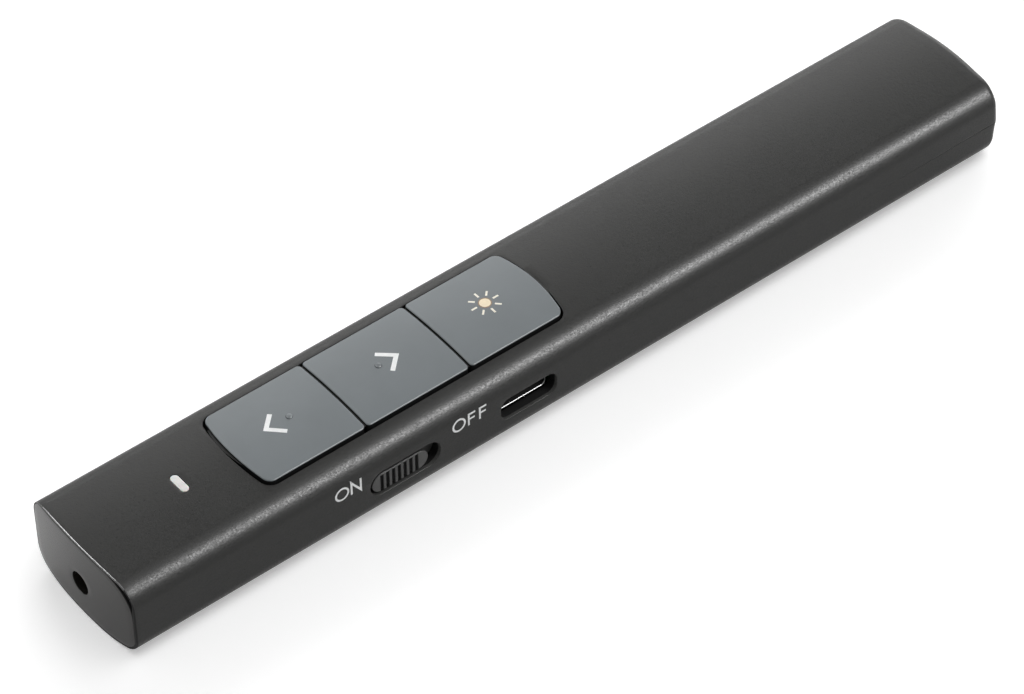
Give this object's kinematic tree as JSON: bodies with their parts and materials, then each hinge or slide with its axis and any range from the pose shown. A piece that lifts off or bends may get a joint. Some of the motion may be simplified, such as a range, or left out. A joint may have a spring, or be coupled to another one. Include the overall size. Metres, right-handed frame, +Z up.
{
  "type": "presentation clicker",
  "caption": "Slim handheld wireless presentation clicker with page keys and a laser key on its crowned top, a slide power switch and a micro USB socket in its side wall.",
  "frame": {"origin": "middle of the length and the width, on the surface that the flat strip of the underside rests on", "axes": "+X from the laser nose to the tail, +Y away from the side wall with the slide switch and the socket, +Z up through the keys"},
  "size_m": [0.137, 0.0202, 0.0127],
  "materials": {
    "shell": "fine matt soft-touch coating",
    "cap": "satin moulded plastic",
    "key": "fine matt, slate grey",
    "window": "milky translucent",
    "black_plastic": "moulded",
    "board": "solder mask",
    "steel": "plated sheet",
    "brass": "turned",
    "lens": "polished",
    "ceramic": "fired",
    "pouch": "foil pouch",
    "foam": "closed-cell foam",
    "tape": "polyimide tape",
    "lead": "silicone insulation"
  },
  "bodies": {
    "housing": {"upper_housing": "shell", "lower_housing": "shell", "nose_cap": "cap", "indicator_lens": "window", "circuit_board": "board", "board_screws": "steel", "back_switch": "black_plastic", "forward_switch": "black_plastic", "laser_switch": "black_plastic", "switch_domes": "steel", "status_led": "window", "laser_barrel": "brass", "laser_lens": "lens", "laser_diode": "steel", "slide_switch": "steel", "usb_shell": "steel", "usb_tongue": "black_plastic", "usb_contacts": "brass", "controller_chip": "black_plastic", "radio_crystal": "steel", "charge_chip": "black_plastic", "chip_antenna": "ceramic", "board_passives": "ceramic", "battery_cell": "pouch", "battery_pad": "foam", "protection_board": "tape", "battery_leads": "lead"},
    "back_key": {"back_button": "key", "back_stem": "black_plastic"},
    "forward_key": {"forward_button": "key", "forward_stem": "black_plastic"},
    "laser_key": {"laser_button": "key", "laser_stem": "black_plastic"},
    "power_slider": {"switch_knob": "shell", "slide_lever": "black_plastic"}
  },
  "joints": [
    {"name": "back_press", "type": "slide", "parent": "housing", "child": "back_key", "axis": [0, 0, -1], "range_m": [0, 0.00025], "stiffness_N_per_m": 4000},
    {"name": "forward_press", "type": "slide", "parent": "housing", "child": "forward_key", "axis": [0, 0, -1], "range_m": [0, 0.00025], "stiffness_N_per_m": 4000},
    {"name": "laser_press", "type": "slide", "parent": "housing", "child": "laser_key", "axis": [0, 0, -1], "range_m": [0, 0.00025], "stiffness_N_per_m": 4000},
    {"name": "power_slide", "type": "slide", "parent": "housing", "child": "power_slider", "axis": [1, 0, 0], "range_m": [0, 0.0015]}
  ]
}
